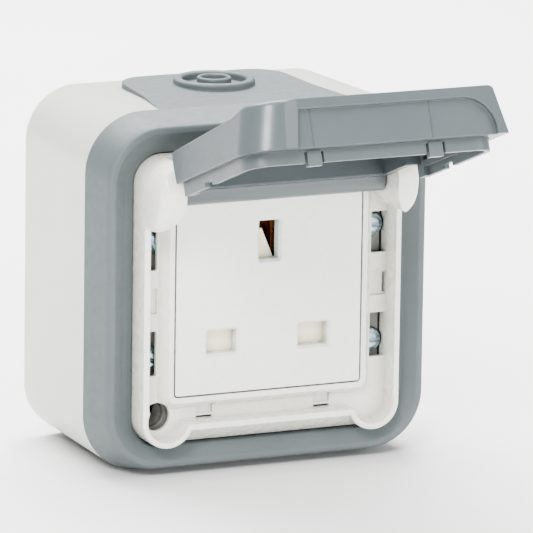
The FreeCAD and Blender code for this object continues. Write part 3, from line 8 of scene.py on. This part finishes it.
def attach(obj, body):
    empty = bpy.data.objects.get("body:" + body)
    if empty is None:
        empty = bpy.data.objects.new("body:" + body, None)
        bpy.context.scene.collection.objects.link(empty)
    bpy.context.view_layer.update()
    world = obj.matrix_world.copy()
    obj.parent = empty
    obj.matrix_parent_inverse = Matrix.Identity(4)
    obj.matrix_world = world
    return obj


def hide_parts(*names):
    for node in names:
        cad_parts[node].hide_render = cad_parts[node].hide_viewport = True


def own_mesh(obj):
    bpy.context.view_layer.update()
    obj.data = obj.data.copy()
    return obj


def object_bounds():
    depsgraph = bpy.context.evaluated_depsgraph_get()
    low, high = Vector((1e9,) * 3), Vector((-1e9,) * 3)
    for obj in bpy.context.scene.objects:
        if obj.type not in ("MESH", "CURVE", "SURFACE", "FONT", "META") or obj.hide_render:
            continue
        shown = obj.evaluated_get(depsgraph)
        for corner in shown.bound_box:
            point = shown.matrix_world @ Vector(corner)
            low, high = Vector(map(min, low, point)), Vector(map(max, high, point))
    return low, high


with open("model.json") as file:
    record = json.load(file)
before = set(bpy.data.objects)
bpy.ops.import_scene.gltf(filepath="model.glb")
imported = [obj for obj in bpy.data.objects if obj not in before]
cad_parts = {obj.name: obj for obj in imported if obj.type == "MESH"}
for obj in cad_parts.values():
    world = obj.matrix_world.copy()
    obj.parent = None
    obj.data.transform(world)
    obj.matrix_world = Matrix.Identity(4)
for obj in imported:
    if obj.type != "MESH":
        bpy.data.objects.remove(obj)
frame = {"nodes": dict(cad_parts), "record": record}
CAD_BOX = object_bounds()
NODES = frame["nodes"]
MM = 0.001


# Materials. Texture sizes are in millimetres and follow each piece's own coordinates.

NOISE_MIDDLE = (0.3, 0.7)
CLOUD_DETAIL, GLOSS_DETAIL, GRAIN_DETAIL = 2.0, 4.0, 4.0
GLOSS_TO_CLOUD = 1 / 6
# Samples for the painted shade in corners.
PAINTED_SHADE_SAMPLES = 16
EDGE_SAMPLES = 6
MIX_FACTOR, MIX_FIRST, MIX_SECOND, MIX_COLOUR = 0, 6, 7, 2


def link(tree, source, target):
    tree.links.new(source, target)


def noise(tree, size_mm, detail, stretch=(1, 1, 1)):
    """Noise whose features are about the given size, in the piece's own space."""
    where = tree.nodes.new("ShaderNodeTexCoord")
    scale = tree.nodes.new("ShaderNodeMapping")
    scale.inputs["Scale"].default_value = [1 / (size_mm * MM * s) for s in stretch]
    grain = tree.nodes.new("ShaderNodeTexNoise")
    grain.inputs["Scale"].default_value = 1.0
    grain.inputs["Detail"].default_value = detail
    link(tree, where.outputs["Object"], scale.inputs["Vector"])
    link(tree, scale.outputs["Vector"], grain.inputs["Vector"])
    return grain.outputs["Fac"]


def spread(tree, value, low, high):
    """Map the middle of the noise's values onto a range."""
    node = tree.nodes.new("ShaderNodeMapRange")
    node.inputs["From Min"].default_value, node.inputs["From Max"].default_value = NOISE_MIDDLE
    node.inputs["To Min"].default_value = low
    node.inputs["To Max"].default_value = high
    link(tree, value, node.inputs["Value"])
    return node.outputs["Result"]


def blend_colour(tree, factor, first, second):
    node = tree.nodes.new("ShaderNodeMix")
    node.data_type = "RGBA"
    node.inputs[MIX_FIRST].default_value = (*first, 1)
    node.inputs[MIX_SECOND].default_value = (*second, 1)
    link(tree, factor, node.inputs[MIX_FACTOR])
    return node.outputs[MIX_COLOUR]


def painted_corner_shade(tree, tint, reach_mm, deepest_painted_shade):
    """Multiply a colour by ambient occlusion: painted shade where nearby surfaces close it in."""
    closed = tree.nodes.new("ShaderNodeAmbientOcclusion")
    closed.samples = PAINTED_SHADE_SAMPLES
    closed.inputs["Distance"].default_value = reach_mm * MM
    level = tree.nodes.new("ShaderNodeMapRange")
    level.inputs["To Min"].default_value = deepest_painted_shade
    level.inputs["To Max"].default_value = 1.0
    link(tree, closed.outputs["AO"], level.inputs["Value"])
    darker = tree.nodes.new("ShaderNodeMix")
    darker.data_type = "RGBA"
    darker.blend_type = "MULTIPLY"
    darker.inputs[MIX_FACTOR].default_value = 1.0
    link(tree, tint, darker.inputs[MIX_FIRST])
    link(tree, level.outputs["Result"], darker.inputs[MIX_SECOND])
    return darker.outputs[MIX_COLOUR]


def surface(name, colour, shade, rough, grain_mm, grain_height, cloud_mm=14, metal=0.0, coat=0.0,
            edge_mm=0.25, stretch=(1, 1, 1), painted_shade_mm=3.0, deepest_painted_shade=0.45):
    """Moulded or metal surface: clouded colour, uneven gloss, fine grain, painted shade in corners and
    softened edges.
    """
    material = bpy.data.materials.new(name)
    material.use_nodes = True
    tree = material.node_tree
    shader = tree.nodes["Principled BSDF"]
    shader.inputs["Metallic"].default_value = metal
    shader.inputs["Coat Weight"].default_value = coat
    clouds = noise(tree, cloud_mm, CLOUD_DETAIL)
    tint = blend_colour(tree, spread(tree, clouds, 0.0, 1.0), colour, shade)
    # The base colour carries painted shade: darker where nearby surfaces close the surface in.
    link(tree, painted_corner_shade(tree, tint, painted_shade_mm, deepest_painted_shade), shader.inputs["Base Color"])
    gloss = noise(tree, cloud_mm * GLOSS_TO_CLOUD, GLOSS_DETAIL, stretch)
    link(tree, spread(tree, gloss, rough[0], rough[1]), shader.inputs["Roughness"])
    corner = tree.nodes.new("ShaderNodeBevel")
    corner.samples = EDGE_SAMPLES
    corner.inputs["Radius"].default_value = edge_mm * MM
    grain = noise(tree, grain_mm, GRAIN_DETAIL, stretch)
    bump = tree.nodes.new("ShaderNodeBump")
    bump.inputs["Strength"].default_value = 1.0
    bump.inputs["Distance"].default_value = grain_height * MM
    link(tree, grain, bump.inputs["Height"])
    link(tree, corner.outputs["Normal"], bump.inputs["Normal"])
    link(tree, bump.outputs["Normal"], shader.inputs["Normal"])
    return material


def linear(red, green, blue):
    """Linear colour from screen values out of 255."""
    out = []
    for value in (red, green, blue):
        v = value / 255
        out.append(v / 12.92 if v <= 0.04045 else ((v + 0.055) / 1.055) ** 2.4)
    return tuple(out)


# The reach and deepest values in each entry set how far and how dark the painted shade in corners goes; the
# lid's 25 mm reach paints shade over its inside.
MATERIALS = {
    "box_white": surface(
        "box_white", linear(192, 192, 187), linear(189, 189, 183), (0.32, 0.40), 0.5, 0.003, coat=0.1),
    "frame_white": surface(
        "frame_white", linear(227, 226, 217), linear(224, 223, 213), (0.24, 0.32), 0.4, 0.002,
        coat=0.15, painted_shade_mm=4.0, deepest_painted_shade=0.65),
    "face_white": surface(
        "face_white", linear(232, 232, 227), linear(229, 229, 223), (0.25, 0.33), 0.4, 0.002,
        coat=0.15, edge_mm=0.12, painted_shade_mm=2.5, deepest_painted_shade=0.3),
    "surround_grey": surface(
        "surround_grey", linear(74, 82, 84), linear(70, 78, 80), (0.48, 0.62), 0.35, 0.03,
        cloud_mm=10, edge_mm=0.5, painted_shade_mm=3.0, deepest_painted_shade=0.85),
    "lid_grey": surface(
        "lid_grey", linear(71, 79, 82), linear(68, 76, 79), (0.30, 0.38), 0.4, 0.005,
        cloud_mm=18, coat=0.1, edge_mm=0.5, painted_shade_mm=25.0, deepest_painted_shade=0.35),
    "liner_grey": surface(
        "liner_grey", linear(78, 86, 89), linear(74, 82, 85), (0.34, 0.44), 0.35, 0.005,
        edge_mm=0.2, painted_shade_mm=12.0, deepest_painted_shade=0.35),
    "seal_grey": surface(
        "seal_grey", linear(70, 76, 78), linear(64, 70, 72), (0.60, 0.75), 0.25, 0.01,
        painted_shade_mm=15.0, deepest_painted_shade=0.3),
    "seal_dark": surface(
        "seal_dark", linear(40, 42, 42), linear(33, 35, 35), (0.60, 0.80), 0.25, 0.01),
    "plate_grey": surface(
        "plate_grey", linear(132, 133, 128), linear(124, 125, 121), (0.40, 0.55), 0.4, 0.01, deepest_painted_shade=0.9),
    "base_grey": surface(
        "base_grey", linear(90, 90, 88), linear(82, 82, 80), (0.40, 0.55), 0.4, 0.01),
    "zinc": surface(
        "zinc", linear(196, 216, 226), linear(160, 180, 192), (0.18, 0.36), 0.3, 0.006,
        cloud_mm=2, metal=1.0, edge_mm=0.12, stretch=(6, 1, 1), painted_shade_mm=1.5, deepest_painted_shade=0.9),
    "spring_steel": surface(
        "spring_steel", linear(150, 150, 150), linear(120, 120, 122), (0.15, 0.30), 0.2, 0.002,
        cloud_mm=2, metal=1.0, edge_mm=0.05),
    "contact_brass": surface(
        "contact_brass", linear(220, 146, 84), linear(196, 124, 68), (0.22, 0.42), 0.3, 0.005,
        cloud_mm=3, metal=1.0, edge_mm=0.1, stretch=(1, 5, 1)),
    "shutter_cream": surface(
        "shutter_cream", linear(241, 238, 210), linear(237, 233, 203), (0.34, 0.44), 0.4, 0.003, deepest_painted_shade=0.7),
}

SLOT_OF = {part["node"]: part["material_slot"] for part in frame["record"]["subparts"]}
for name, thing in NODES.items():
    mesh = thing.data
    mesh.materials.clear()
    mesh.materials.append(MATERIALS[SLOT_OF[name]])


# Fine mould lines on the lid's recessed end, drawn closed in millimetres and swung open with the lid

HINGE = (0, -0.0505, 0.0245)
OPEN_ANGLE = math.radians(110.8)
RECESS_REACH = 54.2
LINES_ACROSS = (-15.0, 13.0)
LINE_LOW, LINE_HIGH = -0.3, 7.8
LINE_WIDTH, LINE_PROUD, LINE_SUNK = 0.22, 0.09, 0.3


def lid_line(name, across):
    """A thin raised line up the recess, at one place across the lid."""
    shape = bmesh.new()
    bmesh.ops.create_cube(shape, size=1.0)
    size = (LINE_WIDTH, LINE_HIGH - LINE_LOW, LINE_PROUD + LINE_SUNK)
    centre = (across, -(LINE_HIGH + LINE_LOW) / 2, -(RECESS_REACH + (LINE_PROUD - LINE_SUNK) / 2))
    for vertex in shape.verts:
        vertex.co = [(vertex.co[i] * size[i] + centre[i]) * MM for i in range(3)]
    swing = Matrix.Translation(HINGE) @ Matrix.Rotation(-OPEN_ANGLE, 4, "X")
    bmesh.ops.transform(shape, matrix=swing, verts=shape.verts)
    data = bpy.data.meshes.new(name)
    shape.to_mesh(data)
    shape.free()
    data.materials.append(MATERIALS["lid_grey"])
    line = bpy.data.objects.new(name, data)
    bpy.context.scene.collection.objects.link(line)
    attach(line, "lid")


for index, across in enumerate(LINES_ACROSS):
    lid_line(f"lid_line_{index + 1}", across)


# The return spring is a copy of the shutter spring with its own mesh, held on the root body in place of the
# hidden CAD spring


def return_spring():
    spring = bpy.data.objects.new("return_spring", NODES["shutter_spring"].data.copy())
    bpy.context.scene.collection.objects.link(spring)
    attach(spring, "root")
    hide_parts("shutter_spring")
    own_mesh(spring)


return_spring()


# Studio: a pale floor under the box, a pale backdrop and soft lights

FLOOR_SIDE = 6.0
FLOOR_FRONT, FLOOR_BACK, BACKDROP_TOP = -6.0, 3.0, 5.0
BEND_R = 1.2
BEND_STEPS = 12


def floor_material():
    # The floor gets painted shade where the object stands close over it.
    return surface("floor_pale", (0.93, 0.93, 0.93), (0.91, 0.91, 0.91), (0.60, 0.70), 4, 0.01, cloud_mm=120,
                   painted_shade_mm=12.0, deepest_painted_shade=0.7)


def make_floor():
    """Floor that curves up into a backdrop well behind the object."""
    height = CAD_BOX[0][2]
    bend_start = FLOOR_BACK - BEND_R
    rows = [(FLOOR_FRONT, height), (bend_start, height)]
    for step in range(1, BEND_STEPS + 1):
        angle = step / BEND_STEPS * math.pi / 2
        rows.append((bend_start + BEND_R * math.sin(angle), height + BEND_R * (1 - math.cos(angle))))
    rows.append((FLOOR_BACK, BACKDROP_TOP))
    mesh = bmesh.new()
    left = [mesh.verts.new((-FLOOR_SIDE, y, z)) for y, z in rows]
    right = [mesh.verts.new((FLOOR_SIDE, y, z)) for y, z in rows]
    for i in range(len(rows) - 1):
        mesh.faces.new((left[i], right[i], right[i + 1], left[i + 1]))
    data = bpy.data.meshes.new("floor")
    mesh.to_mesh(data)
    mesh.free()
    for face in data.polygons:
        face.use_smooth = True
    floor = bpy.data.objects.new("floor", data)
    bpy.context.scene.collection.objects.link(floor)
    data.materials.append(floor_material())


WORLD_STRENGTH = 0.5
TOP_TINT = (1.0, 0.985, 0.95)


def area_light(name, place, aim, size, power, colour=(1, 1, 1)):
    data = bpy.data.lights.new(name, "AREA")
    data.shape = "RECTANGLE"
    data.size, data.size_y = size
    data.energy = power
    data.color = colour
    light = bpy.data.objects.new(name, data)
    bpy.context.scene.collection.objects.link(light)
    light.location = place
    light.rotation_euler = (Vector(aim) - Vector(place)).to_track_quat("-Z", "Y").to_euler()


make_floor()
area_light("key", (-0.95, -1.2, 1.15), (0, -0.05, 0), (0.6, 0.6), 56)
area_light("fill", (1.3, -1.0, 0.4), (0, -0.05, 0), (1.0, 1.0), 15)
area_light("low", (0.2, -1.5, 0.12), (0, -0.05, 0), (1.4, 0.4), 20)
area_light("top", (0.0, 0.0, 1.6), (0, 0.0, 0), (2.0, 2.0), 44, TOP_TINT)
area_light("back", (0.1, 0.5, 0.8), (0.1, 0.45, 0), (1.0, 0.7), 42)


def make_world():
    world = bpy.data.worlds.new("studio")
    bpy.context.scene.world = world
    world.use_nodes = True
    sky = world.node_tree.nodes["Background"]
    sky.inputs["Color"].default_value = (1, 1, 1, 1)
    sky.inputs["Strength"].default_value = WORLD_STRENGTH


make_world()


# Camera at the photograph's viewing angle, from its place, target and small roll

CAMERA_PLACE = (-0.6000, -1.3445, 0.3188)
CAMERA_TARGET = (-0.0007, -0.047, 0.00536)
CAMERA_ROLL = math.radians(0.841)
SENSOR_WIDTH = 36.0
FOCAL_LENGTH = 447.2
SEES_AS_FAR_AS = 20.0


def make_camera():
    place = Vector(CAMERA_PLACE)
    target = Vector(CAMERA_TARGET)
    forward = (target - place).normalized()
    right = forward.cross(Vector((0, 0, 1))).normalized()
    up = right.cross(forward)
    across = right * math.cos(CAMERA_ROLL) + up * math.sin(CAMERA_ROLL)
    upward = up * math.cos(CAMERA_ROLL) - right * math.sin(CAMERA_ROLL)
    data = bpy.data.cameras.new("camera")
    data.sensor_width = SENSOR_WIDTH
    data.lens = FOCAL_LENGTH
    data.clip_end = SEES_AS_FAR_AS
    camera = bpy.data.objects.new("camera", data)
    bpy.context.scene.collection.objects.link(camera)
    camera.matrix_world = Matrix((
        (across.x, upward.x, -forward.x, place.x),
        (across.y, upward.y, -forward.y, place.y),
        (across.z, upward.z, -forward.z, place.z),
        (0, 0, 0, 1),
    ))
    bpy.context.scene.camera = camera


make_camera()
